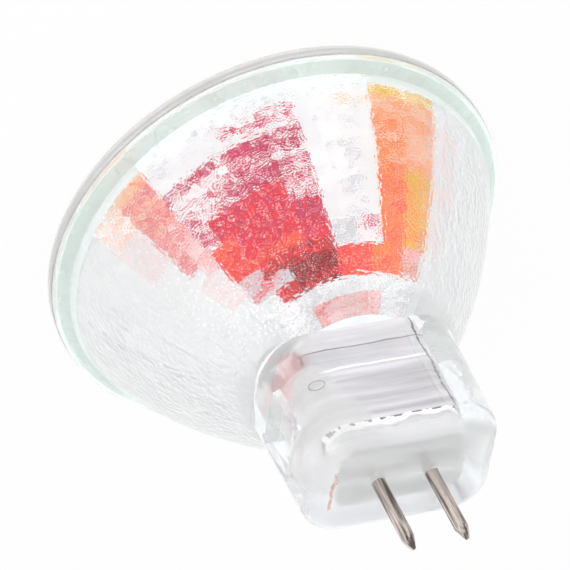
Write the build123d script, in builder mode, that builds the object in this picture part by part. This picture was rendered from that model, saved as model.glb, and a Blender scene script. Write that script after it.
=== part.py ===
"""Halogen reflector bulb, 35 mm across, with two pins 4 mm apart.

The bulb stands on its front glass: +Z runs from the front glass to the contact pins, and the origin is the
centre of the front glass's outer face. X runs along the line of the two pins. All sizes are in millimetres.
"""

from build123d import *
from math import sqrt
import os

# front glass and the clear bond behind it
rim_radius = 17.5
front_glass_thickness = 1.0
front_glass_chamfer = 0.12
bond_thickness = 0.1
bond_width = 1.3

# pressed glass bowl, outside
flange_setback = 0.1
flange_wall_height = 0.25
flange_thickness = 0.8
flange_band_width = 1.0
land_height = 0.8
land_draft = 0.2
bowl_mid_wall = 1.98
bowl_mid_height = 9.0
neck_radius = 7.3
neck_height = 16.0

# faceted reflecting surface inside the bowl
facet_sectors = 32
facet_rows = 9
mouth_wall = 0.5
hole_wall = 1.9
floor_thickness = 1.4

# base block, outside
base_end_height = 26.3
base_root_width = 14.9
base_root_depth = 10.6
base_end_width = 14.1
base_end_depth = 9.6
base_root_corner = 3.6
base_end_corner = 2.9
base_end_fillet = 1.5
notch_length = 4.0
notch_depth = 0.8
notch_width = 5.0
notch_middle_height = 20.4

# slot inside the base block
slot_width = 9.6
slot_depth = 5.2
slot_corner = 1.2
end_wall = 1.6

# quartz capsule
capsule_radius = 3.0
capsule_wall = 0.7
capsule_dome_height = 3.6
capsule_shoulder_height = 12.6
exhaust_tip_radius = 0.7
exhaust_tip_length = 0.9
pinch_width = 7.2
pinch_depth = 2.6
pinch_blend = 1.6

# current path
filament_height = 9.4
filament_coil_radius = 0.5
filament_wire_radius = 0.09
filament_pitch = 0.3
filament_turns = 7
filament_gap = 0.06
lead_radius = 0.2
lead_top_overrun = 0.3
foil_width = 1.6
foil_length = 4.2
foil_thickness = 0.05
foil_inset = 1.8
outer_lead_radius = 0.3
outer_lead_free_length = 1.6
pin_radius = 0.5
pin_root_radius = 0.7
pin_root_taper = 0.15
pin_spacing = 4.0
pin_free_length = 6.5
pin_tip_length = 1.1
pin_tip_radius = 0.16
pin_inner_length = 1.9
pin_hole_clearance = 0.03

# ceramic cement that holds the capsule in the slot
cement_top_height = 17.5

# heights and radii that follow from the sizes above
bond_height = front_glass_thickness
flange_height = bond_height + bond_thickness
flange_radius = rim_radius - flange_setback
flange_rear_height = flange_height + flange_thickness
land_radius = flange_radius - flange_band_width
bowl_start_radius = land_radius - land_draft
bowl_start_height = flange_rear_height + land_height
mouth_radius = bowl_start_radius - mouth_wall
hole_radius = neck_radius - hole_wall
floor_height = neck_height - floor_thickness
bond_outer_radius = mouth_radius + bond_width
slot_end_height = base_end_height - end_wall
pin_inner_height = slot_end_height - pin_inner_length
pin_tip_height = base_end_height + pin_free_length
pinch_start_height = capsule_shoulder_height + pinch_blend
pinch_end_height = pin_inner_height - outer_lead_free_length
foil_end_height = pinch_end_height - foil_inset
foil_start_height = foil_end_height - foil_length
filament_half_length = filament_turns * filament_pitch / 2
lead_offset = filament_half_length + filament_wire_radius + filament_gap + lead_radius
side_names = {-1: "left", 1: "right"}


def dish_radius(height):
    """Radius of the parabola inside the bowl at one height."""
    share = (height - flange_height) / (floor_height - flange_height)
    return sqrt(mouth_radius**2 - (mouth_radius**2 - hole_radius**2) * share)


bowl_mid_radius = dish_radius(bowl_mid_height) + bowl_mid_wall


def save(part, name):
    """Labels one finished piece and writes it to its own file."""
    part.label = name
    export_step(part, f"parts/{name}.step")


os.makedirs("parts", exist_ok=True)

# front glass: a flat disc with a small chamfer on both edges
with BuildPart() as front_glass:
    Cylinder(rim_radius, front_glass_thickness, align=(Align.CENTER, Align.CENTER, Align.MIN))
    chamfer(front_glass.edges().filter_by(GeomType.CIRCLE), front_glass_chamfer)
save(front_glass.part, "front_glass")

# clear bond: a thin ring between the front glass and the flange
with BuildPart() as front_glass_bond:
    with BuildSketch(Plane.XY.offset(bond_height)):
        Circle(bond_outer_radius)
        Circle(mouth_radius, mode=Mode.SUBTRACT)
    extrude(amount=bond_thickness)
save(front_glass_bond.part, "front_glass_bond")

# faceted dish that the pressing plunger leaves: a stack of straight-sided rings
with BuildPart() as facet_dish:
    for row in range(facet_rows + 1):
        height = flange_height + (floor_height - flange_height) * row / facet_rows
        with BuildSketch(Plane.XY.offset(height)):
            RegularPolygon(dish_radius(height), facet_sectors)
    loft(ruled=True)

# slot that holds the pinch of the capsule and the cement
with BuildPart() as base_slot:
    with BuildSketch(Plane.XY.offset(floor_height)):
        RectangleRounded(slot_width, slot_depth, slot_corner)
    extrude(amount=slot_end_height - floor_height)

# pressed glass: bowl, neck and base block are one piece
with BuildPart() as reflector_glass:
    with BuildSketch(Plane.XZ):
        with BuildLine():
            flange = Polyline(
                (0, flange_height),
                (flange_radius, flange_height),
                (flange_radius, flange_height + flange_wall_height),
                (land_radius, flange_rear_height),
                (bowl_start_radius, bowl_start_height),
            )
            bowl = ThreePointArc(flange @ 1, (bowl_mid_radius, bowl_mid_height), (neck_radius, neck_height))
            Polyline(bowl @ 1, (0, neck_height), flange @ 0)
        make_face()
    revolve(axis=Axis.Z)
    with BuildSketch(Plane.XY.offset(floor_height)):
        RectangleRounded(base_root_width, base_root_depth, base_root_corner)
    with BuildSketch(Plane.XY.offset(base_end_height)):
        RectangleRounded(base_end_width, base_end_depth, base_end_corner)
    loft()
    fillet(reflector_glass.edges().group_by(Axis.Z)[-1], base_end_fillet)
    for side in side_names:
        with BuildSketch(Plane.XY.offset(notch_middle_height - notch_length / 2)):
            with Locations((side * (base_root_width / 2), 0)):
                Rectangle(2 * notch_depth + base_root_width - base_end_width, notch_width)
        extrude(amount=notch_length, mode=Mode.SUBTRACT)
    add(facet_dish.part, mode=Mode.SUBTRACT)
    add(base_slot.part, mode=Mode.SUBTRACT)
    with BuildSketch(Plane.XY.offset(slot_end_height)):
        with GridLocations(pin_spacing, 0, 2, 1):
            Circle(pin_root_radius + pin_hole_clearance)
    extrude(amount=end_wall, mode=Mode.SUBTRACT)
save(reflector_glass.part, "reflector_glass")

# contact pins: round wire, swaged thicker where it is held, with a long taper at the free end
contact_pins = {}
for side, side_name in side_names.items():
    with BuildPart() as contact_pin:
        with BuildSketch(Plane.XZ):
            with BuildLine():
                Polyline(
                    (0, pin_inner_height),
                    (pin_root_radius, pin_inner_height),
                    (pin_root_radius, base_end_height),
                    (pin_radius, base_end_height + pin_root_taper),
                    (pin_radius, pin_tip_height - pin_tip_length),
                    (pin_tip_radius, pin_tip_height),
                    (0, pin_tip_height),
                    close=True,
                )
            make_face()
        revolve(axis=Axis.Z)
    contact_pins[side] = contact_pin.part.moved(Location((side * pin_spacing / 2, 0, 0)))
    save(contact_pins[side], f"contact_pin_{side_name}")

# wires and foils of each half of the current path
inner_leads, foils, outer_leads = {}, {}, {}
for side, side_name in side_names.items():
    with BuildPart() as inner_lead:
        with BuildSketch(Plane.XY.offset(filament_height - filament_coil_radius - lead_top_overrun)):
            with Locations((side * lead_offset, 0)):
                Circle(lead_radius)
        extrude(amount=foil_start_height - filament_height + filament_coil_radius + lead_top_overrun)
    inner_leads[side] = inner_lead.part
    save(inner_leads[side], f"inner_lead_{side_name}")

    with BuildPart() as foil:
        with BuildSketch(Plane.XY.offset(foil_start_height)):
            with Locations((side * pin_spacing / 2, 0)):
                Rectangle(foil_width, foil_thickness)
        extrude(amount=foil_length)
    foils[side] = foil.part
    save(foils[side], f"molybdenum_foil_{side_name}")

    with BuildPart() as outer_lead:
        with BuildSketch(Plane.XY.offset(foil_end_height)):
            with Locations((side * pin_spacing / 2, 0)):
                Circle(outer_lead_radius)
        extrude(amount=pin_inner_height - foil_end_height)
    outer_leads[side] = outer_lead.part
    save(outer_leads[side], f"outer_lead_{side_name}")

# quartz capsule: blown tube, domed at the front and pinched flat around the foils
with BuildPart() as capsule:
    with BuildSketch(Plane.XZ):
        with BuildLine():
            dome = CenterArc((0, capsule_dome_height + capsule_radius), capsule_radius, 270, 90)
            Polyline(dome @ 1, (capsule_radius, capsule_shoulder_height), (0, capsule_shoulder_height), dome @ 0)
        make_face()
    revolve(axis=Axis.Z)
    with BuildSketch(Plane.XY.offset(capsule_dome_height - exhaust_tip_length)):
        Circle(exhaust_tip_radius / 2)
    with BuildSketch(Plane.XY.offset(capsule_dome_height + capsule_wall / 2)):
        Circle(exhaust_tip_radius)
    loft()
    with BuildSketch(Plane.XY.offset(capsule_shoulder_height)):
        Circle(capsule_radius)
    with BuildSketch(Plane.XY.offset(pinch_start_height)):
        RectangleRounded(pinch_width, pinch_depth, pinch_depth / 4)
    loft()
    with BuildSketch(Plane.XY.offset(pinch_start_height)):
        RectangleRounded(pinch_width, pinch_depth, pinch_depth / 4)
    extrude(amount=pinch_end_height - pinch_start_height)
    with BuildSketch(Plane.XZ):
        with BuildLine():
            inside = CenterArc(
                (0, capsule_dome_height + capsule_radius), capsule_radius - capsule_wall, 270, 90
            )
            Polyline(
                inside @ 1,
                (capsule_radius - capsule_wall, capsule_shoulder_height),
                (0, capsule_shoulder_height + capsule_wall),
                inside @ 0,
            )
        make_face()
    revolve(axis=Axis.Z, mode=Mode.SUBTRACT)
    for side in side_names:
        add(inner_leads[side], mode=Mode.SUBTRACT)
        add(foils[side], mode=Mode.SUBTRACT)
        add(outer_leads[side], mode=Mode.SUBTRACT)
save(capsule.part, "quartz_capsule")

# filament: one coil across the lamp's axis, between the two inner leads
with BuildPart() as filament:
    coil = Helix(
        filament_pitch,
        filament_turns * filament_pitch,
        filament_coil_radius,
        center=(-filament_half_length, 0, filament_height),
        direction=(1, 0, 0),
    )
    with BuildSketch(Plane(coil @ 0, z_dir=coil % 0)):
        Circle(filament_wire_radius)
    sweep(path=coil, is_frenet=True)
save(filament.part, "filament")

# cement: fills the slot around the pinch, the wires and the inner ends of the pins
with BuildPart() as base_cement:
    with BuildSketch(Plane.XY.offset(cement_top_height)):
        RectangleRounded(slot_width, slot_depth, slot_corner)
    extrude(amount=slot_end_height - cement_top_height)
    with BuildSketch(Plane.XY.offset(pinch_start_height)):
        RectangleRounded(pinch_width, pinch_depth, pinch_depth / 4)
    extrude(amount=pinch_end_height - pinch_start_height, mode=Mode.SUBTRACT)
    for side in side_names:
        add(outer_leads[side], mode=Mode.SUBTRACT)
        add(contact_pins[side], mode=Mode.SUBTRACT)
save(base_cement.part, "base_cement")
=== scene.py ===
import math

import bmesh
import bpy
from bpy.props import FloatProperty, FloatVectorProperty, IntProperty, PointerProperty
from mathutils import Matrix, Vector


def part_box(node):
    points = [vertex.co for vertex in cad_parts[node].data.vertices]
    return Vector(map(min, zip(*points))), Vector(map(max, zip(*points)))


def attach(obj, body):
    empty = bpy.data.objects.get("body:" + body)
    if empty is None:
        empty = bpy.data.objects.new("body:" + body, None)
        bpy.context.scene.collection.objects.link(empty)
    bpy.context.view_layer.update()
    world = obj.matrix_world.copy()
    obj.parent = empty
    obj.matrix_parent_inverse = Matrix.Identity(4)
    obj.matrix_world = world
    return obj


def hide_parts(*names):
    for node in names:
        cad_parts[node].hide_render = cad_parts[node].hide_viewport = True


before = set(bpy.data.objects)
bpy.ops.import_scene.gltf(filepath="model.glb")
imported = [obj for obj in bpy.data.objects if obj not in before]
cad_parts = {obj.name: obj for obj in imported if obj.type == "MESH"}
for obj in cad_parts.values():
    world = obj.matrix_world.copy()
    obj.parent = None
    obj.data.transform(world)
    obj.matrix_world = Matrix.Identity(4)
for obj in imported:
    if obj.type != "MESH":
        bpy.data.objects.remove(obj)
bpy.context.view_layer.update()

bl_info = {
    "name": "Halogen reflector bulb",
    "version": (1, 0, 0),
    "blender": (4, 5, 0),
    "location": "3D View > Sidebar > Bulb",
    "description": "Dresses the packed model of a halogen reflector bulb with glass, film, wire and studio",
    "category": "Object",
}

MM = 0.001
WHITE = (1.0, 1.0, 1.0, 1.0)
# Near-black painted shade: dark edges seen in the glass and the bubble's dark rim.
PAINTED_SHADE = (0.10, 0.10, 0.11, 1.0)
PIN_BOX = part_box("contact_pin_right")
CEMENT_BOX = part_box("base_cement")
BODY_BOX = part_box("reflector_glass")
COVER_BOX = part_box("front_glass")
BODY_TOP = BODY_BOX[1][2]
SLACK = 0.02 * MM  # allowed when faces are picked by their place, and the gap under the glass and the film
JOIN_DISTANCE = 2e-7  # far less than any real edge of the CAD meshes

BODY_FACETS, BODY_SLOT, BODY_SKIRT = 1, 2, 3  # material indices of the glass body; 0 is its outside
PIN_HOLE_REACH = 0.9 * MM  # past the edge of a pin's hole, and short of anything else on the end face
PIN_HOLE_PLAY = 1.04  # radius of the hole in the end face over the pin's
BUBBLE_SHAPE = (1.15, 0.7, 0.85)
BUBBLE_PLACE = (-4.75 * MM, 3.95 * MM, 20.2 * MM)
TIP_CUTS = (25, 115, 205, 295)  # degrees round the pin
TIP_CUT_TURN = 8  # degrees that the cuts are turned by, one way on one pin and the other way on the other
TIP_CUT_SLOPE = 0.30

CAMERA_PLACE = (-98.428, 194.023, 198.999)
CAMERA_RIGHT = (0.92916, 0.11581, 0.35107)
CAMERA_UP = (0.15734, 0.73546, -0.65904)
LAMP_TARGET = (0, 0, 0.012)

# Fans of colour that the film shows, as ranges of facets; its white is painted bright reflection. Sectors
# count round the axis from +X, rows from the mouth: first sector, last sector, first row, last row, colour,
# cover, fleck colour, share of flecks. Where ranges overlap, the later line wins.
FILM_PATCHES = (
    (0, 32, 0, 9, "film_clear", 0.36, "film_pearl", 0.40),
    (3.5, 4.5, 1.5, 7, "film_blush", 0.42, "film_pearl", 0.50),
    (4.5, 6.5, 0.5, 1, "film_yellow", 0.97, "film_white_reflection", 0.30),
    (4.5, 5.5, 1, 4, "film_peach", 0.92, "film_orange", 0.50),
    (4.5, 5.5, 4, 6, "film_yellow", 0.95, "film_orange", 0.50),
    (4.5, 5.5, 6, 7, "film_orange", 0.97, "film_yellow", 0.46),
    (4.5, 5.5, 7, 7.5, "film_blush", 0.80, "film_coral", 0.40),
    (4.5, 5.5, 7.5, 8, "film_amber", 0.92, "film_blush", 0.45),
    (5.5, 6.5, 1, 2, "film_peach", 0.95, "film_orange", 0.48),
    (5.5, 6.5, 2, 4, "film_orange", 0.97, "film_peach", 0.34),
    (5.5, 6.5, 4, 7, "film_orange", 0.98, "film_coral", 0.42),
    (6.5, 8.5, 0.5, 6, "film_white_reflection", 0.95, "film_pearl", 0.25),
    (6.5, 7.5, 0.5, 1.5, "film_white_reflection", 0.90, "film_peach", 0.42),
    (7, 7.5, 2, 6, "film_white_reflection", 0.90, "film_pearl", 0.46),
    (6.5, 7.5, 6, 7, "film_white_reflection", 0.95, "film_magenta", 0.30),
    (7.5, 8.5, 6, 7, "film_pearl", 0.90, "film_white_reflection", 0.35),
    (5.5, 7, 7, 8, "film_coral", 0.98, "film_orange", 0.50),
    (7, 8.5, 7, 8, "film_coral", 0.98, "film_red", 0.42),
    (8.5, 9.5, 1, 2, "film_white_reflection", 0.95, "film_magenta", 0.52),
    (8.5, 9.5, 2, 4, "film_magenta", 0.95, "film_white_reflection", 0.44),
    (8.5, 9.5, 4, 5, "film_magenta", 0.97, "film_white_reflection", 0.34),
    (8.5, 9.5, 5, 6, "film_magenta", 0.97, "film_red", 0.46),
    (8.5, 9.5, 6, 7, "film_red", 0.98, "film_magenta", 0.42),
    (9.5, 10.5, 1, 2, "film_white_reflection", 0.95, "film_magenta", 0.48),
    (9.5, 10.5, 2, 2.5, "film_magenta", 0.97, "film_white_reflection", 0.08),
    (9.5, 10.5, 2.5, 4, "film_magenta", 0.97, "film_white_reflection", 0.24),
    (10.5, 11.5, 2, 2.5, "film_magenta", 0.95, "film_white_reflection", 0.32),
    (11.5, 12.5, 2, 2.5, "film_magenta", 0.95, "film_white_reflection", 0.52),
    (10.5, 12.5, 1, 2, "film_white_reflection", 0.95, "film_pearl", 0.35),
    (10.5, 12.5, 2.5, 3, "film_white_reflection", 0.95, "film_magenta", 0.32),
    (10.5, 11.5, 3, 4, "film_magenta", 0.95, "film_white_reflection", 0.34),
    (11.5, 12.5, 3, 4, "film_magenta", 0.95, "film_white_reflection", 0.50),
    (9.5, 12, 4, 5, "film_magenta", 0.98, "film_red", 0.52),
    (12, 12.5, 4, 5, "film_magenta", 0.96, "film_white_reflection", 0.40),
    (9.5, 11.5, 5, 6, "film_red", 0.98, "film_magenta", 0.48),
    (11.5, 12.5, 5, 6.5, "film_red", 0.98, "film_coral", 0.45),
    (9.5, 11.5, 6, 7, "film_red", 0.98, "film_coral", 0.50),
    (11.5, 12.5, 6.5, 7.5, "film_pearl", 0.92, "film_red", 0.40),
    (8.5, 11.5, 6.5, 7, "film_red", 0.98, "film_maroon", 0.44),
    (8.5, 10.5, 7, 8, "film_maroon", 1.00, "film_red", 0.34),
    (10.5, 11.5, 7, 7.5, "film_pearl", 0.92, "film_red", 0.40),
    (10.5, 11.5, 7.5, 8, "film_red", 0.97, "film_maroon", 0.46),
    (12.5, 13.5, 0.5, 1, "film_peach", 0.92, "film_coral", 0.40),
    (12.5, 13.5, 1, 3, "film_salmon", 0.90, "film_peach", 0.46),
    (12.5, 13.5, 3, 5, "film_salmon", 0.90, "film_blush", 0.44),
    (12.5, 13, 4, 5.5, "film_blush", 0.80, "film_salmon", 0.42),
    (12.5, 13.5, 5.5, 7, "film_blush", 0.50, "film_pearl", 0.45),
    (13.5, 14.5, 0.5, 2, "film_peach", 0.70, "film_white_reflection", 0.40),
    (13.5, 14.5, 2, 4, "film_blush", 0.50, "film_pearl", 0.45),
    (4.5, 12.5, 8, 9, "film_white_reflection", 0.80, "film_pearl", 0.50),
    (6.5, 10.5, 8.5, 9, "film_blush", 0.85, "film_salmon", 0.34),
    (6.5, 12.5, 0, 1, "film_white_reflection", 0.90, "film_pearl", 0.35),
)


def size_property(title, about, default):
    """A length that a user can change, in metres."""
    return FloatProperty(
        name=title, description=about, default=default, unit="LENGTH", subtype="DISTANCE", precision=5
    )


def colour_property(title, about, red, green, blue):
    """A colour that a user can change, written as it shows on screen, 0 to 255."""
    linear = [((c / 255 + 0.055) / 1.055) ** 2.4 if c > 10 else c / 255 / 12.92 for c in (red, green, blue)]
    return FloatVectorProperty(name=title, description=about, default=linear, subtype="COLOR", min=0, max=1)


class BulbSizes(bpy.types.PropertyGroup):
    """Sizes of the pieces that the scene makes itself."""

    cover_radius: size_property("Cover radius", "Radius of the front glass", COVER_BOX[1][0])
    cover_thickness: size_property("Cover thickness", "Thickness of the front glass", COVER_BOX[1][2])
    cover_bevel: size_property("Cover bevel", "Ground edge of the front glass", 0.14 * MM)
    mouth_radius: size_property("Mouth radius", "Corner radius of the facets at the mouth", 15.7 * MM)
    hole_radius: size_property("Hole radius", "Corner radius of the facets at the capsule hole", 5.4 * MM)
    mouth_height: size_property("Mouth height", "Height of the mouth of the bowl", BODY_BOX[0][2])
    floor_height: size_property("Floor height", "Height of the innermost ring of facets", 14.6 * MM)
    film_depth: size_property("Film depth", "Depth of the film under the glass", 0.04 * MM)
    skin_start: size_property("Skin start", "Height at which the hammered skin starts", 2.68 * MM)
    skin_end: size_property("Skin end", "Height at which the hammered skin ends", 14.8 * MM)
    bubble_radius: size_property("Bubble radius", "Radius of the air bubble in the base", 0.5 * MM)
    pin_radius: size_property("Pin radius", "Radius of the contact pins", 0.5 * MM)
    pin_root_radius: size_property("Pin root radius", "Radius of the swaged root", 0.58 * MM)
    pin_spacing: size_property("Pin spacing", "Distance between the pins' axes", 4.0 * MM)
    pin_tip_length: size_property("Pin tip length", "Length of the pins' taper", 1.1 * MM)
    pin_tip_radius: size_property("Pin tip radius", "Radius at the pins' free end", 0.16 * MM)
    facet_sectors: IntProperty(name="Facet sectors", description="Facets round the bowl", default=32, min=8)
    facet_rows: IntProperty(name="Facet rows", description="Rows from mouth to hole", default=9, min=2)


class BulbColours(bpy.types.PropertyGroup):
    """Colours of the film on the facets and of the other finishes."""

    film_red: colour_property("Red", "Red of the film", 236, 34, 52)
    film_magenta: colour_property("Magenta", "Magenta of the film", 212, 34, 96)
    film_maroon: colour_property("Maroon", "Darkest red of the film", 146, 10, 22)
    film_coral: colour_property("Coral", "Coral of the film", 252, 98, 70)
    film_orange: colour_property("Orange", "Orange of the film", 250, 142, 62)
    film_amber: colour_property("Amber", "Brownish orange of the film", 226, 128, 66)
    film_yellow: colour_property("Yellow", "Yellow of the film", 238, 196, 50)
    film_peach: colour_property("Peach", "Pale orange of the film", 250, 200, 168)
    film_salmon: colour_property("Salmon", "Pale red of the film", 240, 134, 136)
    film_blush: colour_property("Blush", "Faint pink of the film", 246, 208, 208)
    # Painted bright reflection, on the white fans and as white flecks.
    film_white_reflection: colour_property("White", "White of the film", 252, 252, 253)
    film_pearl: colour_property("Pearl", "Pale grey of the film", 216, 218, 223)
    film_clear: colour_property("Clear", "Colour of the film where it is clear", 233, 232, 234)
    glass_clear: colour_property("Glass", "Colour of the pressed glass", 252, 253, 253)
    glass_edge: colour_property("Glass edge", "Ground edge of the front glass", 214, 212, 208)
    glass_base: colour_property("Base glass", "Pale grey of the base block", 226, 229, 227)
    glass_rim: colour_property("Rim glass", "Pale green of the thick rim", 229, 240, 236)
    cement_grey: colour_property("Cement", "Colour of the cement", 217, 216, 217)
    slot_dark: colour_property("Slot dark", "Darker streaks of the slot walls", 182, 180, 184)
    slot_light: colour_property("Slot light", "Lighter streaks of the slot walls", 226, 224, 227)
    pin_metal: colour_property("Pin metal", "Colour of the pins", 226, 214, 206)


class StudioSettings(bpy.types.PropertyGroup):
    """Floor, lamps and camera."""

    floor_size: size_property("Floor size", "Side of the white floor", 3.0)
    key_power: FloatProperty(name="Key power", description="Main soft lamp", default=0.9, unit="POWER")
    fill_power: FloatProperty(name="Fill power", description="Second soft lamp", default=0.4, unit="POWER")
    room_level: FloatProperty(name="Room level", description="Brightness of the room", default=1.0, min=0)
    lens: FloatProperty(name="Lens", description="Focal length of the camera", default=252.63, unit="CAMERA")


def add_node(tree, kind, inputs=None, **settings):
    """Adds a node. Inputs are plain values or the output sockets they are linked to."""
    made = tree.nodes.new(kind)
    for key, value in settings.items():
        setattr(made, key, value)
    for key, value in (inputs or {}).items():
        if isinstance(value, bpy.types.NodeSocket):
            tree.links.new(value, made.inputs[key])
        else:
            made.inputs[key].default_value = value
    return made


def maths(tree, operation, *values):
    """Result of one Math node."""
    return add_node(tree, "ShaderNodeMath", dict(enumerate(values)), operation=operation).outputs[0]


def times(tree, first, second):
    """Product of two values."""
    return maths(tree, "MULTIPLY", first, second)


def times_plus(tree, value, factor, added):
    """A value times a factor, plus something."""
    return maths(tree, "MULTIPLY_ADD", value, factor, added)


def thin_band(tree, value, middle, half):
    """1 where a value lies within a thin band."""
    return maths(tree, "COMPARE", value, middle, half)


def ramp(tree, value, low, high, start=0.0, end=1.0):
    """A value taken from one range to another, and held at the ends of it."""
    return add_node(tree, "ShaderNodeMapRange", {0: value, 1: low, 2: high, 3: start, 4: end}).outputs[0]


def noise(tree, vector, scale, detail=2.0, roughness=0.5, dimensions="3D"):
    """Value of one Noise Texture."""
    inputs = {"Vector": vector, "Scale": scale, "Detail": detail, "Roughness": roughness}
    return add_node(tree, "ShaderNodeTexNoise", inputs, noise_dimensions=dimensions).outputs[0]


def blend_values(tree, share, first, second):
    """Result of one Mix node for plain values."""
    return add_node(tree, "ShaderNodeMix", {0: share, 2: first, 3: second}, data_type="FLOAT").outputs[0]


def blend_colours(tree, share, first, second, mode="MIX"):
    """Result of one colour Mix node. The two colours are its sixth and seventh inputs."""
    mix = add_node(tree, "ShaderNodeMix", {0: share, 6: first, 7: second}, data_type="RGBA", blend_type=mode)
    return mix.outputs[2]


def split_axes(tree, vector):
    """X, Y and Z of a vector."""
    return add_node(tree, "ShaderNodeSeparateXYZ", {0: vector}).outputs


def axis_distance(tree, axes):
    """Distance from the bulb's axis."""
    flat = add_node(tree, "ShaderNodeCombineXYZ", {0: axes[0], 1: axes[1]}).outputs[0]
    return add_node(tree, "ShaderNodeVectorMath", {0: flat}, operation="LENGTH").outputs["Value"]


def new_group(name, output, **inputs):
    """An empty shader node group: its tree, its input sockets (Vector first) and its output's socket."""
    tree = bpy.data.node_groups.new(name, "ShaderNodeTree")
    for title, value in {"Vector": None, **inputs}.items():
        kind = "NodeSocketVector" if value is None else "NodeSocketFloat"
        socket = tree.interface.new_socket(title, in_out="INPUT", socket_type=kind)
        if value is not None:
            socket.default_value = value
    tree.interface.new_socket(output, in_out="OUTPUT", socket_type="NodeSocketFloat")
    given, result = tree.nodes.new("NodeGroupInput"), tree.nodes.new("NodeGroupOutput")
    return tree, given.outputs, result.inputs[0]


def pressed_skin_group():
    """Small rounded dimples, as on hammered pressed glass, with a slow swell under them."""
    tree, given, result = new_group("pressed_skin", "Height", Grain=2100.0, Swell=0.5)
    vector, grain, swell, *_ = given
    cells = add_node(tree, "ShaderNodeTexVoronoi", {"Vector": vector, "Scale": grain}).outputs["Distance"]
    slow = noise(tree, vector, times(tree, grain, 0.3), 1.0)
    tree.links.new(times_plus(tree, slow, swell, times(tree, cells, cells)), result)
    return tree


def fine_marks_group():
    """Sparse specks and short scratches, for glass and for metal."""
    tree, given, result = new_group("fine_marks", "Mask", Scale=1500.0, Share=0.1)
    vector, scale, share, *_ = given
    dots = add_node(tree, "ShaderNodeTexVoronoi", {"Vector": vector, "Scale": scale}).outputs["Distance"]
    patchy = noise(tree, vector, times(tree, scale, 0.3))
    tree.links.new(ramp(tree, dots, times(tree, share, patchy), 0.0), result)
    return tree


def drawn_lines_group():
    """Long fine lines, as wire drawing and pressing leave them. Stretch is small along the lines."""
    tree, given, result = new_group("drawn_lines", "Lines", Stretch=None, Fineness=9000.0)
    vector, stretch, fineness, *_ = given
    long = add_node(tree, "ShaderNodeVectorMath", {0: vector, 1: stretch}, operation="MULTIPLY").outputs[0]
    tree.links.new(noise(tree, long, fineness, 3.0, 0.6), result)
    return tree


GROUP_MAKERS = {
    "pressed_skin": pressed_skin_group,
    "fine_marks": fine_marks_group,
    "drawn_lines": drawn_lines_group,
}


def group_value(tree, name, **inputs):
    """Output of a shared node group, which is built on its first use."""
    group = bpy.data.node_groups.get(name) or GROUP_MAKERS[name]()
    return add_node(tree, "ShaderNodeGroup", inputs, node_tree=group).outputs[0]


def new_material(name, **sockets):
    """A material with one Principled shader. Returns material, tree, shader and the Object coordinates."""
    material = bpy.data.materials.new(name)
    material.use_nodes = True
    tree = material.node_tree
    tree.nodes.clear()
    shader = tree.nodes.new("ShaderNodeBsdfPrincipled")
    for key, value in sockets.items():
        shader.inputs[key.replace("_", " ")].default_value = value
    output = add_node(tree, "ShaderNodeOutputMaterial", {"Surface": shader.outputs[0]})
    output.target = "ALL"
    place = add_node(tree, "ShaderNodeTexCoord").outputs["Object"]
    return material, tree, shader, place


def feed(tree, shader, **sockets):
    """Links values to the shader's inputs."""
    for key, value in sockets.items():
        tree.links.new(value, shader.inputs[key.replace("_", " ")])


def bump(tree, shader, height, strength, distance):
    """Feeds a height into the shader's normal."""
    made = add_node(tree, "ShaderNodeBump", {"Height": height, "Strength": strength, "Distance": distance})
    feed(tree, shader, Normal=made.outputs[0])


def rgba(colour, alpha=1.0):
    """A property's colour as four numbers."""
    return (*colour, alpha)


def glass_material(sizes, colours):
    """Pressed glass: clear, hammered on the bowl, pale green in the rim, milky at the end of the base."""
    # The glass glows a little, pale green in the rim and grey elsewhere: painted light.
    material, tree, shader, place = new_material(
        "pressed_glass", Roughness=0.02, IOR=1.5, Transmission_Weight=1.0, Emission_Strength=0.17
    )
    milky_start, milky_end = 24.9 * MM, 26.0 * MM
    streak_x, streak_half, streak_reach, streak_height = -4.85 * MM, 0.12 * MM, 1.8 * MM, 26.1 * MM
    dust, film_red_reflection = (0.25, 0.26, 0.25, 1.0), (0.58, 0.20, 0.10, 1.0)
    axes = split_axes(tree, place)
    height = axes[2]
    starts = ramp(tree, height, sizes.skin_start, sizes.skin_start + 0.15 * MM)
    ends = ramp(tree, height, sizes.skin_end + 0.6 * MM, sizes.skin_end)
    on_bowl = times(tree, starts, ends)
    rim = maths(tree, "SUBTRACT", 1.0, starts)
    block = times(tree, maths(tree, "SUBTRACT", 1.0, ends), 0.7)
    marks = group_value(tree, "fine_marks", Vector=place, Scale=900.0, Share=0.16)
    tint = blend_colours(tree, rim, rgba(colours.glass_clear), rgba(colours.glass_rim))
    tint = blend_colours(tree, block, tint, rgba(colours.glass_base))
    tint = blend_colours(tree, times(tree, marks, times(tree, rim, 0.45)), tint, dust)
    skin = group_value(tree, "pressed_skin", Vector=place, Grain=2500.0, Swell=0.6)
    wavy = noise(tree, place, 420.0)
    # A thin broken streak of the film's red, caught in the narrow side of the base's end: a painted
    # reflection of the film.
    streak = thin_band(tree, times_plus(tree, wavy, 1.2 * MM, axes[0]), streak_x, streak_half)
    near = maths(tree, "LESS_THAN", maths(tree, "ABSOLUTE", axes[1]), streak_reach)
    streak = times(tree, streak, times(tree, near, maths(tree, "GREATER_THAN", height, streak_height)))
    streak = times(tree, streak, ramp(tree, noise(tree, place, 3800.0, 1.0), 0.22, 0.50))
    feed(
        tree, shader,
        Base_Color=blend_colours(tree, streak, tint, film_red_reflection),
        Roughness=ramp(tree, height, milky_start, milky_end, 0.03, 0.32),
        Alpha=times_plus(tree, rim, -0.14, 0.90),
        Emission_Color=blend_colours(tree, rim, (0.16, 0.16, 0.16, 1.0), (0.84, 0.94, 0.90, 1.0)),
    )
    bump(tree, shader, blend_values(tree, on_bowl, times(tree, wavy, 0.2), skin), 1.0, 0.13 * MM)
    return material


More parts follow.
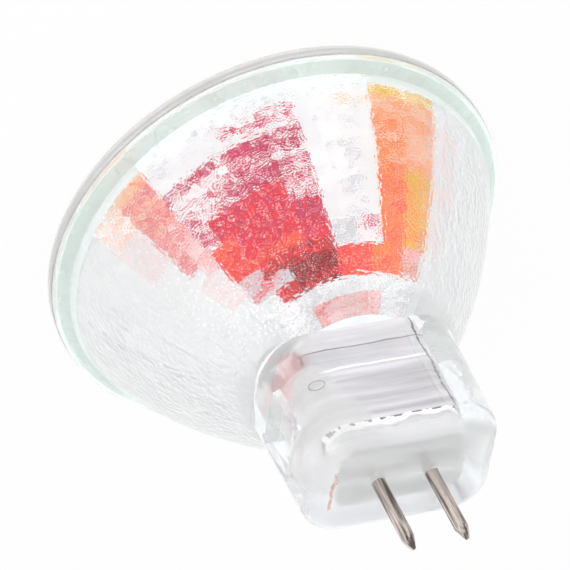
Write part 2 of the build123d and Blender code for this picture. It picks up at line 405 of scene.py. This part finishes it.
def facet_glass_material(colours):
    """The same glass on the facets and inside the neck, smooth."""
    material, tree, shader, place = new_material(
        "facet_glass", Roughness=0.03, IOR=1.5, Transmission_Weight=1.0, Alpha=0.8
    )
    soft = noise(tree, place, 700.0, 1.0)
    shade = blend_colours(tree, times(tree, soft, 0.25), rgba(colours.glass_clear), rgba(colours.film_pearl))
    feed(tree, shader, Base_Color=shade)
    bump(tree, shader, soft, 0.4, 0.05 * MM)
    return material


def slot_material(colours):
    """Slot walls as they show through the block: silvery, with lines where the cement and the pinch end."""
    # The slot walls glow with their own colour: painted light.
    material, tree, shader, place = new_material("slot_wall", Roughness=0.28, Emission_Strength=0.45)
    pinch_line, upper_end, cement_line = 16.5 * MM, 18.3 * MM, 18.4 * MM
    cloud_end, broken_line, white_line = 23.6 * MM, 23.62 * MM, 23.75 * MM
    side_line, side_wall = 4.58 * MM, 4.68 * MM
    axes = split_axes(tree, place)
    across, height = axes[0], axes[2]
    off_axis = maths(tree, "ABSOLUTE", across)
    lines = group_value(tree, "drawn_lines", Vector=place, Fineness=330.0, Stretch=(0.16, 0.16, 3.4))
    wavy = noise(tree, place, 500.0, 1.0)
    rough = noise(tree, place, 2400.0)
    moved = times_plus(tree, wavy, 0.35 * MM, maths(tree, "SUBTRACT", height, 0.17 * MM))

    # Silvery streaks, paler on the bowl's side of the cement's line, with the lines drawn over them.
    streaks = ramp(tree, lines, 0.34, 0.66)
    shade = blend_colours(tree, streaks, rgba(colours.slot_dark), rgba(colours.slot_light))
    upper = maths(tree, "LESS_THAN", moved, upper_end)
    shade = blend_colours(tree, times(tree, upper, 0.5), shade, rgba(colours.film_pearl))
    shade = blend_colours(tree, thin_band(tree, moved, pinch_line, 0.06 * MM), shade, (0.26, 0.22, 0.24, 1.0))
    shade = blend_colours(tree, thin_band(tree, moved, cement_line, 0.09 * MM), shade, WHITE)
    # Dark lines along the slot's sides are painted shade at the slot's edges.
    side = times_plus(tree, wavy, 0.6 * MM, off_axis)
    shade = blend_colours(
        tree, thin_band(tree, side, side_line, times_plus(tree, rough, 0.34 * MM, -0.09 * MM)), shade, PAINTED_SHADE
    )

    # A milky cloud covers the side towards -X and both narrow walls, with a painted reflection of the film's
    # red as a haze in it.
    held = maths(tree, "MINIMUM", height, cloud_end)
    slant = maths(tree, "MAXIMUM", maths(tree, "SUBTRACT", held, cement_line), 0.0)
    limit = times_plus(tree, slant, 0.42, -3.6 * MM)
    edge = maths(tree, "SUBTRACT", times_plus(tree, wavy, 1.6 * MM, across), limit)
    cloudy = ramp(tree, edge, 0.9 * MM, 0.2 * MM)
    cloudy = maths(tree, "MAXIMUM", cloudy, maths(tree, "GREATER_THAN", off_axis, side_wall))
    by_bowl = ramp(tree, moved, 20.5 * MM, 17.5 * MM)
    haze = times(tree, by_bowl, times(tree, ramp(tree, wavy, 0.50, 0.66), 0.5))
    cloud = blend_colours(tree, haze, (0.70, 0.69, 0.70, 1.0), rgba(colours.film_salmon))
    shade = blend_colours(tree, cloudy, shade, cloud)

    # Towards the pins the slot ends in even grey, after a broken dark line and a white one, a painted
    # reflection of the glass's edge round the end face.
    shade = blend_colours(tree, ramp(tree, moved, 23.85 * MM, 23.95 * MM), shade, (0.76, 0.76, 0.77, 1.0))
    dashes = blend_colours(tree, maths(tree, "GREATER_THAN", rough, 0.50), WHITE, PAINTED_SHADE)
    shade = blend_colours(tree, thin_band(tree, moved, broken_line, 0.07 * MM), shade, dashes)
    shade = blend_colours(tree, thin_band(tree, moved, white_line, 0.06 * MM), shade, WHITE)
    feed(tree, shader, Base_Color=shade, Emission_Color=shade, Alpha=times_plus(tree, cloudy, -0.30, 0.92))
    bump(tree, shader, lines, 0.5, 0.1 * MM)
    return material


def skirt_material():
    """Thin white cement skirt on the floor of the bowl, round the capsule."""
    # The skirt glows with its own colour: painted light.
    material, tree, shader, place = new_material(
        "cement_skirt", Roughness=0.5, Emission_Strength=0.45, Alpha=0.9
    )
    skin = group_value(tree, "pressed_skin", Vector=place, Grain=1800.0, Swell=0.6)
    shade = blend_colours(tree, skin, WHITE, (0.86, 0.90, 0.94, 1.0))
    feed(tree, shader, Base_Color=shade, Emission_Color=shade)
    bump(tree, shader, skin, 0.3, 0.05 * MM)
    return material


def film_material():
    """Colour-filtering film: the facets' own colours, broken up by fine flecks."""
    # The film glows with its own colour: painted light.
    material, tree, shader, place = new_material(
        "colour_film", Roughness=0.3, IOR=1.5, Specular_IOR_Level=0.1, Emission_Strength=0.24
    )
    own = add_node(tree, "ShaderNodeVertexColor", layer_name="film").outputs
    fleck = add_node(tree, "ShaderNodeVertexColor", layer_name="fleck").outputs
    # Flat coordinates on the dish: along its rings, and from ring to ring.
    axes = split_axes(tree, place)
    around = times(tree, maths(tree, "ARCTAN2", axes[1], axes[0]), 6.0 * MM)
    along = maths(tree, "SUBTRACT", axes[2], axis_distance(tree, axes))
    rings = add_node(tree, "ShaderNodeCombineXYZ", {0: around, 1: along}).outputs[0]
    grain = noise(tree, rings, 5000.0, roughness=0.6, dimensions="2D")
    broad = noise(tree, rings, 620.0, 1.0, dimensions="2D")
    bands = noise(tree, rings, 1300.0, 1.0, dimensions="2D")
    sparkle = noise(tree, rings, 4400.0, 1.0, dimensions="2D")
    amount = times_plus(tree, broad, 0.16, times_plus(tree, bands, 0.22, times(tree, grain, 0.62)))
    limit = maths(tree, "SUBTRACT", 0.60, times(tree, fleck["Alpha"], 0.22))
    flecked = ramp(tree, amount, limit, maths(tree, "ADD", limit, 0.04))
    colour = blend_colours(tree, flecked, own["Color"], fleck["Color"])
    darker = times(tree, ramp(tree, grain, 0.55, 0.38), 0.6)
    shaded = blend_colours(tree, darker, colour, colour, "MULTIPLY")
    # Painted glints: small near-white highlights over the film.
    glint = times(tree, ramp(tree, sparkle, 0.65, 0.72), 0.6)
    shaded = blend_colours(tree, glint, shaded, (1.0, 0.97, 0.96, 1.0))
    feed(tree, shader, Base_Color=shaded, Emission_Color=shaded, Alpha=own["Alpha"])
    bump(tree, shader, grain, 0.2, 0.02 * MM)
    return material


def bubble_material():
    """Air bubble in the glass: clear in its middle, dark round its edge."""
    material, tree, shader, place = new_material("bubble_wall", Roughness=0.2)
    soft = noise(tree, place, 2500.0, 1.0)
    edge = add_node(tree, "ShaderNodeLayerWeight", {"Blend": 0.5}).outputs["Facing"]
    # The dark edge is painted shade, opaque where the wall turns away from view.
    shade = blend_colours(tree, soft, PAINTED_SHADE, (0.42, 0.42, 0.43, 1.0))
    feed(tree, shader, Base_Color=shade, Alpha=ramp(tree, edge, 0.25, 0.9, 0.02, 0.85))
    bump(tree, shader, soft, 0.3, 0.05 * MM)
    return material


def cover_material(colours):
    """Front glass: clear, with a pale ground edge."""
    # The front glass glows faintly white: painted light.
    material, tree, shader, place = new_material(
        "cover_glass", Roughness=0.02, IOR=1.5, Transmission_Weight=1.0, Alpha=0.85,
        Emission_Color=(0.95, 0.95, 0.94, 1.0), Emission_Strength=0.045,
    )
    marks = group_value(tree, "fine_marks", Vector=place, Scale=700.0, Share=0.12)
    wavy = noise(tree, place, 150.0)
    edge = ramp(tree, axis_distance(tree, split_axes(tree, place)), 17.1 * MM, 17.35 * MM)
    shade = blend_colours(tree, edge, rgba(colours.glass_clear), rgba(colours.glass_edge))
    shade = blend_colours(tree, times(tree, marks, 0.3), shade, (0.45, 0.45, 0.43, 1.0))
    feed(tree, shader, Base_Color=shade)
    bump(tree, shader, wavy, 0.15, 0.05 * MM)
    return material


def quartz_material():
    """Clear fused quartz with slight waves."""
    material, tree, shader, place = new_material(
        "fused_quartz", Roughness=0.03, IOR=1.46, Transmission_Weight=1.0
    )
    wavy = noise(tree, place, 500.0, 1.0)
    shade = blend_colours(tree, times(tree, wavy, 0.5), (0.94, 0.94, 0.95, 1.0), (0.99, 0.99, 0.99, 1.0))
    feed(tree, shader, Base_Color=shade)
    bump(tree, shader, wavy, 0.3, 0.1 * MM)
    return material


def bond_material():
    """Clear silicone with small bubbles."""
    material, tree, shader, place = new_material("silicone_bond", Roughness=0.35, IOR=1.41)
    marks = group_value(tree, "fine_marks", Vector=place, Scale=1600.0, Share=0.4)
    shade = blend_colours(tree, marks, (0.80, 0.83, 0.81, 1.0), (0.95, 0.95, 0.95, 1.0))
    feed(tree, shader, Base_Color=shade, Alpha=times_plus(tree, marks, 0.3, 0.4))
    return material


def cement_material(colours):
    """Cement that has taken the drawn lines of the slot, seen through the glass as silvery grey."""
    # The cement glows with its own colour: painted light.
    material, tree, shader, place = new_material("slot_cement", Roughness=0.35, Emission_Strength=0.55)
    lines = group_value(tree, "drawn_lines", Vector=place, Fineness=420.0, Stretch=(0.22, 1.0, 2.6))
    skin = group_value(tree, "pressed_skin", Vector=place, Grain=1400.0, Swell=0.8)
    band = ramp(tree, lines, 0.35, 0.68)
    shade = blend_colours(tree, band, (0.50, 0.497, 0.50, 1.0), rgba(colours.cement_grey))
    feed(tree, shader, Base_Color=shade, Emission_Color=shade, Roughness=times_plus(tree, band, 0.3, 0.3))
    bump(tree, shader, times_plus(tree, skin, 0.15, lines), 0.6, 0.15 * MM)
    return material


def wire_material(name, colour, roughness, fineness):
    """Drawn wire: long lines along the wire, small marks, and brighter and darker streaks that are painted
    reflections.
    """
    material, tree, shader, place = new_material(name, Metallic=1.0, Roughness=roughness)
    lines = group_value(tree, "drawn_lines", Vector=place, Fineness=fineness, Stretch=(1.0, 1.0, 0.03))
    broad = group_value(tree, "drawn_lines", Vector=place, Fineness=fineness * 0.22, Stretch=(1.0, 1.0, 0.06))
    marks = group_value(tree, "fine_marks", Vector=place, Scale=4200.0, Share=0.22)
    # Broad dark and bright bands along the wire are painted reflections, with the fine drawn lines mixed in.
    streak = ramp(tree, times_plus(tree, lines, 0.25, times(tree, broad, 0.75)), 0.44, 0.57)
    shade = blend_colours(tree, streak, rgba([c * 0.16 for c in colour]), rgba(colour))
    shade = blend_colours(tree, times(tree, marks, 0.5), shade, (0.16, 0.13, 0.11, 1.0))
    feed(tree, shader, Base_Color=shade, Roughness=times_plus(tree, lines, 0.25, roughness - 0.1))
    bump(tree, shader, lines, 0.15, 0.01 * MM)
    return material


def mesh_object(name, bm, material):
    """Turns a bmesh into an object at the origin. Normals that came with a CAD mesh are dropped."""
    mesh = bpy.data.meshes.new(name)
    bm.to_mesh(mesh)
    bm.free()
    if "custom_normal" in mesh.attributes:
        mesh.attributes.remove(mesh.attributes["custom_normal"])
    made = bpy.data.objects.new(name, mesh)
    bpy.context.scene.collection.objects.link(made)
    mesh.materials.append(material)
    return made


def smooth_faces(bm, angle):
    """Smooth shading, with sharp edges above an angle in degrees."""
    for face in bm.faces:
        face.smooth = True
    for edge in bm.edges:
        edge.smooth = len(edge.link_faces) == 2 and edge.calc_face_angle(0.0) < math.radians(angle)


def merged_node(node_name):
    """A bmesh copy of a CAD node with its loose triangles joined."""
    bm = bmesh.new()
    bm.from_mesh(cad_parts[node_name].data)
    bmesh.ops.remove_doubles(bm, verts=bm.verts, dist=JOIN_DISTANCE)
    return bm


def grow_ring(bm, edges, widening, rise):
    """Extrudes a ring of edges along Z, widens it, and returns the new ring's edges."""
    grown = bmesh.ops.extrude_edge_only(bm, edges=edges)["geom"]
    ring = {item for item in grown if isinstance(item, bmesh.types.BMVert)}
    bmesh.ops.scale(bm, verts=list(ring), vec=(widening, widening, 1))
    bmesh.ops.translate(bm, verts=list(ring), vec=(0, 0, rise))
    return [item for item in grown if isinstance(item, bmesh.types.BMEdge) and ring.issuperset(item.verts)]


def loft_rings(bm, radius, height, steps):
    """Grows the ring of edges that is there through each step's radius and height."""
    edges = list(bm.edges)
    for wider, higher in steps:
        edges = grow_ring(bm, edges, wider / radius, higher - height)
        radius, height = wider, higher


def close_holes(bm):
    """Fills each open ring of edges with a face."""
    bmesh.ops.holes_fill(bm, edges=[e for e in bm.edges if e.is_boundary], sides=0)


def repaint_node(node, material):
    """Gives a CAD node that the scene shows as it is one material."""
    node.data.materials.clear()
    node.data.materials.append(material)


def finish_piece(made, slot, *nodes):
    """A finished piece rides on the bulb's body and stands for its CAD nodes."""
    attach(made, "root")
    if nodes:
        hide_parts(*nodes)


def dish_ring(sizes, row):
    """Corner radius and height of one ring of facets."""
    share = row / sizes.facet_rows
    squared = sizes.mouth_radius**2 - (sizes.mouth_radius**2 - sizes.hole_radius**2) * share
    return math.sqrt(squared), sizes.mouth_height + (sizes.floor_height - sizes.mouth_height) * share


def facet_chance(sector, row):
    """A fixed number from 0 to 1 for each facet."""
    return math.sin(int(sector) * 12.99 + int(row) * 78.23) * 43758.5 % 1


def body_material_index(face, sizes):
    """Which of the glass body's materials a face takes."""
    middle = face.calc_center_median()
    if abs(middle.z - sizes.floor_height) < SLACK and face.normal.z < -0.9:
        return BODY_SKIRT
    if face.normal.x * middle.x + face.normal.y * middle.y >= 0:
        return 0
    if 0 < (middle.z - sizes.mouth_height) / (sizes.floor_height - sizes.mouth_height) < 1:
        return BODY_FACETS
    if sizes.floor_height < middle.z < CEMENT_BOX[1][2]:
        in_slot = abs(middle.x) < CEMENT_BOX[1][0] + SLACK and abs(middle.y) < CEMENT_BOX[1][1] + SLACK
        return BODY_SLOT if in_slot else BODY_FACETS
    return 0


class BULB_OT_front_glass(bpy.types.Operator):
    """Front glass: a flat disc with a ground edge, and the silicone bond behind it"""

    bl_idname = "bulb.front_glass"
    bl_label = "Front glass"

    def execute(self, context):
        sizes, colours = context.scene.bulb_sizes, context.scene.bulb_colours
        bm = bmesh.new()
        bmesh.ops.create_circle(bm, cap_ends=True, segments=160, radius=sizes.cover_radius)
        walls = bmesh.ops.extrude_face_region(bm, geom=list(bm.faces))
        top = [item for item in walls["geom"] if isinstance(item, bmesh.types.BMVert)]
        bmesh.ops.translate(bm, verts=top, vec=(0, 0, sizes.cover_thickness))
        rims = [e for e in bm.edges if len({round(v.co.z, 7) for v in e.verts}) == 1]
        bmesh.ops.bevel(
            bm, geom=rims, offset=sizes.cover_bevel, affect="EDGES", segments=3, profile=0.5, material=-1
        )
        bmesh.ops.recalc_face_normals(bm, faces=bm.faces)
        smooth_faces(bm, 40)
        disc = mesh_object("cover_disc", bm, cover_material(colours))
        finish_piece(disc, "cover_glass", "front_glass")
        repaint_node(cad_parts["front_glass_bond"], bond_material())
        return {"FINISHED"}


class BULB_OT_pressed_glass(bpy.types.Operator):
    """Pressed glass: bowl, neck and base block, with the hammered skin outside and facets inside"""

    bl_idname = "bulb.pressed_glass"
    bl_label = "Pressed glass"

    def execute(self, context):
        sizes, colours = context.scene.bulb_sizes, context.scene.bulb_colours
        bm = merged_node("reflector_glass")
        for side in (-1, 1):
            # The glass closes round each pin where the pin leaves the end face.
            axis = Vector((side * sizes.pin_spacing / 2, 0, BODY_TOP))
            for vert in bm.verts:
                if (vert.co - axis).length < PIN_HOLE_REACH and vert.co.z > BODY_TOP - SLACK:
                    outward = (vert.co.xy - axis.xy).normalized()
                    vert.co.xy = axis.xy + outward * sizes.pin_radius * PIN_HOLE_PLAY
        smooth_faces(bm, 24)
        for face in bm.faces:
            face.material_index = body_material_index(face, sizes)
            # The bowl's facets are flat. The neck's inside has their material and is smooth.
            in_bowl = face.calc_center_median().z < sizes.floor_height
            face.smooth = not (face.material_index == BODY_FACETS and in_bowl)
        body = mesh_object("pressed_glass_body", bm, glass_material(sizes, colours))
        for material in (facet_glass_material(colours), slot_material(colours), skirt_material()):
            body.data.materials.append(material)
        finish_piece(body, "pressed_glass", "reflector_glass")

        bm = bmesh.new()
        bmesh.ops.create_uvsphere(bm, u_segments=32, v_segments=20, radius=sizes.bubble_radius)
        bmesh.ops.scale(bm, verts=bm.verts, vec=BUBBLE_SHAPE)
        bmesh.ops.translate(bm, verts=bm.verts, vec=BUBBLE_PLACE)
        smooth_faces(bm, 60)
        finish_piece(mesh_object("air_bubble", bm, bubble_material()), "pressed_glass")
        return {"FINISHED"}


class BULB_OT_colour_film(bpy.types.Operator):
    """Colour-filtering film on the facets, a skin just under the glass"""

    bl_idname = "bulb.colour_film"
    bl_label = "Colour film"

    def execute(self, context):
        sizes, colours = context.scene.bulb_sizes, context.scene.bulb_colours
        bm = bmesh.new()
        radius, height = dish_ring(sizes, 0)
        ring = bmesh.ops.create_circle(bm, segments=sizes.facet_sectors, radius=radius)["verts"]
        bmesh.ops.translate(bm, verts=ring, vec=(0, 0, height))
        loft_rings(bm, radius, height, [dish_ring(sizes, row) for row in range(1, sizes.facet_rows + 1)])
        bmesh.ops.recalc_face_normals(bm, faces=bm.faces)
        for face in bm.faces:
            middle = face.calc_center_median()
            if face.normal.x * middle.x + face.normal.y * middle.y < 0:
                face.normal_flip()
        bmesh.ops.subdivide_edges(bm, edges=bm.edges, cuts=1, use_grid_fill=True)
        bm.normal_update()
        for vert in bm.verts:
            vert.co += vert.normal * sizes.film_depth
            vert.co.z = max(vert.co.z, sizes.mouth_height + SLACK)
        film = bm.loops.layers.float_color.new("film")
        fleck = bm.loops.layers.float_color.new("fleck")
        for face in bm.faces:
            middle = face.calc_center_median()
            sector = math.atan2(middle.y, middle.x) % math.tau / math.tau * sizes.facet_sectors
            depth = (middle.z - sizes.mouth_height) / (sizes.floor_height - sizes.mouth_height)
            row = depth * sizes.facet_rows
            chance = facet_chance(sector, row)
            level = 0.94 + 0.12 * chance
            for first, last, low, high, name, cover, fleck_name, amount in FILM_PATCHES:
                if first <= sector < last and low <= row < high:
                    own = rgba([min(1.0, c * level) for c in getattr(colours, name)], cover)
                    other = rgba(getattr(colours, fleck_name), amount * (0.75 + 0.5 * chance))
                    for loop in face.loops:
                        loop[film] = own
                        loop[fleck] = other
        finish_piece(mesh_object("colour_film", bm, film_material()), "pressed_glass")
        return {"FINISHED"}


class BULB_OT_capsule(bpy.types.Operator):
    """Quartz capsule with its filament, leads and foils"""

    bl_idname = "bulb.capsule"
    bl_label = "Capsule"

    def execute(self, context):
        bm = merged_node("quartz_capsule")
        smooth_faces(bm, 32)
        capsule = mesh_object("quartz_bulb", bm, quartz_material())
        finish_piece(capsule, "quartz", "quartz_capsule")
        tungsten = wire_material("tungsten_wire", (0.30, 0.30, 0.31), 0.35, 14000.0)
        molybdenum = wire_material("molybdenum_wire", (0.52, 0.52, 0.54), 0.3, 9000.0)
        for name in ("filament", "inner_lead", "outer_lead", "molybdenum_foil"):
            for node_name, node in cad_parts.items():
                if node_name.startswith(name):
                    repaint_node(node, tungsten if name == "filament" else molybdenum)
        return {"FINISHED"}


class BULB_OT_base_cement(bpy.types.Operator):
    """Cement core in the slot of the base block"""

    bl_idname = "bulb.base_cement"
    bl_label = "Base cement"

    def execute(self, context):
        bm = merged_node("base_cement")
        smooth_faces(bm, 35)
        core = mesh_object("cement_core", bm, cement_material(context.scene.bulb_colours))
        finish_piece(core, "cement", "base_cement")
        return {"FINISHED"}


class BULB_OT_contact_pins(bpy.types.Operator):
    """Contact pins: drawn wire with a swaged root and a faceted taper"""

    bl_idname = "bulb.contact_pins"
    bl_label = "Contact pins"

    def execute(self, context):
        sizes, colours = context.scene.bulb_sizes, context.scene.bulb_colours
        metal = wire_material("pin_wire", tuple(colours.pin_metal), 0.18, 9000.0)
        bottom, top = PIN_BOX[0][2], PIN_BOX[1][2]
        steps = (
            (sizes.pin_root_radius, BODY_TOP - 0.75 * MM),
            (sizes.pin_radius, BODY_TOP - 0.55 * MM),
            (sizes.pin_radius, top - sizes.pin_tip_length),
            (sizes.pin_radius * 0.72, top - sizes.pin_tip_length * 0.40),
            (sizes.pin_tip_radius, top - 0.05 * MM),
            (sizes.pin_tip_radius * 0.55, top),
        )
        for side, name in ((-1, "left"), (1, "right")):
            bm = bmesh.new()
            bmesh.ops.create_circle(bm, segments=40, radius=sizes.pin_root_radius)
            bmesh.ops.translate(bm, verts=bm.verts, vec=(0, 0, bottom))
            loft_rings(bm, sizes.pin_root_radius, bottom, steps)
            close_holes(bm)
            for turn in TIP_CUTS:
                lean = math.radians(turn + side * TIP_CUT_TURN)
                out = Vector((math.cos(lean), math.sin(lean), 0))
                bmesh.ops.bisect_plane(
                    bm, geom=bm.verts[:] + bm.edges[:] + bm.faces[:], clear_outer=True,
                    plane_co=out * sizes.pin_tip_radius * 0.9 + Vector((0, 0, top)),
                    plane_no=(out + Vector((0, 0, TIP_CUT_SLOPE))).normalized(),
                )
                close_holes(bm)
            bmesh.ops.recalc_face_normals(bm, faces=bm.faces)
            smooth_faces(bm, 14)
            bmesh.ops.translate(bm, verts=bm.verts, vec=(side * sizes.pin_spacing / 2, 0, 0))
            finish_piece(mesh_object(f"pin_{name}", bm, metal), "pin_metal", f"contact_pin_{name}")
        return {"FINISHED"}


def soft_lamp(name, place, size, power):
    """A square area lamp that points at the bulb."""
    lamp = bpy.data.lights.new(name, "AREA")
    lamp.size, lamp.energy = size, power
    made = bpy.data.objects.new(name, lamp)
    made.location = place
    made.rotation_euler = (Vector(LAMP_TARGET) - Vector(place)).to_track_quat("-Z", "Y").to_euler()
    bpy.context.scene.collection.objects.link(made)


def white_rays(tree):
    """1 for rays that should meet plain white: from the camera, from gloss and through glass."""
    path = add_node(tree, "ShaderNodeLightPath")
    seen = maths(tree, "MAXIMUM", path.outputs["Is Camera Ray"], path.outputs["Is Transmission Ray"])
    return maths(tree, "MAXIMUM", seen, path.outputs["Is Glossy Ray"])


def floor_material():
    """White floor that keeps a faint shadow and lets a view from below through."""
    material = bpy.data.materials.new("white_floor")
    material.use_nodes = True
    tree = material.node_tree
    tree.nodes.clear()
    below = add_node(tree, "ShaderNodeNewGeometry").outputs["Backfacing"]
    diffuse = add_node(tree, "ShaderNodeBsdfDiffuse", {"Color": (0.95, 0.95, 0.95, 1.0)}).outputs[0]
    glow = add_node(tree, "ShaderNodeEmission", {"Color": WHITE, "Strength": 1.0}).outputs[0]
    lit = add_node(tree, "ShaderNodeMixShader", {0: times(tree, white_rays(tree), 0.95), 1: diffuse, 2: glow})
    clear = add_node(tree, "ShaderNodeBsdfTransparent").outputs[0]
    surface = add_node(tree, "ShaderNodeMixShader", {0: below, 1: lit.outputs[0], 2: clear})
    add_node(tree, "ShaderNodeOutputMaterial", {"Surface": surface.outputs[0]})
    return material


def plain_room(level):
    """World that is plain white where it is seen, and a little darker overhead where it only lights."""
    world = bpy.data.worlds.new("plain_room")
    world.use_nodes = True
    tree = world.node_tree
    tree.nodes.clear()
    up = split_axes(tree, add_node(tree, "ShaderNodeTexCoord").outputs["Generated"])[2]
    room = times(tree, ramp(tree, up, 0.0, 0.9, 1.0, 0.6), level)
    strength = blend_values(tree, white_rays(tree), room, 1.0)
    back = add_node(tree, "ShaderNodeBackground", {"Color": WHITE, "Strength": strength})
    add_node(tree, "ShaderNodeOutputWorld", {"Surface": back.outputs[0]})
    return world


class BULB_OT_stage(bpy.types.Operator):
    """White floor, plain room, soft lamps and the camera"""

    bl_idname = "bulb.stage"
    bl_label = "Stage"

    def execute(self, context):
        scene, studio = context.scene, context.scene.bulb_studio
        bm = bmesh.new()
        bmesh.ops.create_grid(bm, x_segments=4, y_segments=4, size=studio.floor_size / 2)
        bmesh.ops.translate(bm, verts=bm.verts, vec=(0, 0, -SLACK))
        floor = mesh_object("studio_floor", bm, floor_material())
        scene.world = plain_room(studio.room_level)
        soft_lamp("key_lamp", (-0.35, 0.25, 0.40), 0.30, studio.key_power)
        soft_lamp("fill_lamp", (0.40, 0.30, 0.30), 0.35, studio.fill_power)

        camera = bpy.data.cameras.new("photo_camera")
        camera.lens, camera.sensor_width, camera.clip_start = studio.lens, 36.0, 0.01
        made = bpy.data.objects.new("photo_camera", camera)
        right, up = Vector(CAMERA_RIGHT).normalized(), Vector(CAMERA_UP)
        up = (up - right * up.dot(right)).normalized()
        turned = Matrix((right, up, right.cross(up))).transposed().to_4x4()
        made.matrix_world = Matrix.Translation(Vector(CAMERA_PLACE) * MM) @ turned
        scene.collection.objects.link(made)
        scene.camera = made
        scene.view_settings.view_transform = "Standard"
        return {"FINISHED"}


STEPS = (
    BULB_OT_front_glass, BULB_OT_pressed_glass, BULB_OT_colour_film, BULB_OT_capsule, BULB_OT_base_cement,
    BULB_OT_contact_pins, BULB_OT_stage,
)


class BULB_PT_panel(bpy.types.Panel):
    """Sizes, colours and steps of the bulb"""

    bl_idname = "BULB_PT_panel"
    bl_label = "Halogen bulb"
    bl_space_type = "VIEW_3D"
    bl_region_type = "UI"
    bl_category = "Bulb"

    def draw(self, context):
        for group in (context.scene.bulb_sizes, context.scene.bulb_colours, context.scene.bulb_studio):
            box = self.layout.box()
            for name in group.__annotations__:
                box.prop(group, name)
        for step in STEPS:
            self.layout.operator(step.bl_idname)


CLASSES = (BulbSizes, BulbColours, StudioSettings, *STEPS, BULB_PT_panel)


def register():
    for made in CLASSES:
        bpy.utils.register_class(made)
    bpy.types.Scene.bulb_sizes = PointerProperty(type=BulbSizes)
    bpy.types.Scene.bulb_colours = PointerProperty(type=BulbColours)
    bpy.types.Scene.bulb_studio = PointerProperty(type=StudioSettings)


def unregister():
    del bpy.types.Scene.bulb_sizes, bpy.types.Scene.bulb_colours, bpy.types.Scene.bulb_studio
    for made in reversed(CLASSES):
        bpy.utils.unregister_class(made)


def main():
    register()
    bpy.ops.bulb.front_glass()
    bpy.ops.bulb.pressed_glass()
    bpy.ops.bulb.colour_film()
    bpy.ops.bulb.capsule()
    bpy.ops.bulb.base_cement()
    bpy.ops.bulb.contact_pins()
    bpy.ops.bulb.stage()


if __name__ == "__main__":
    main()
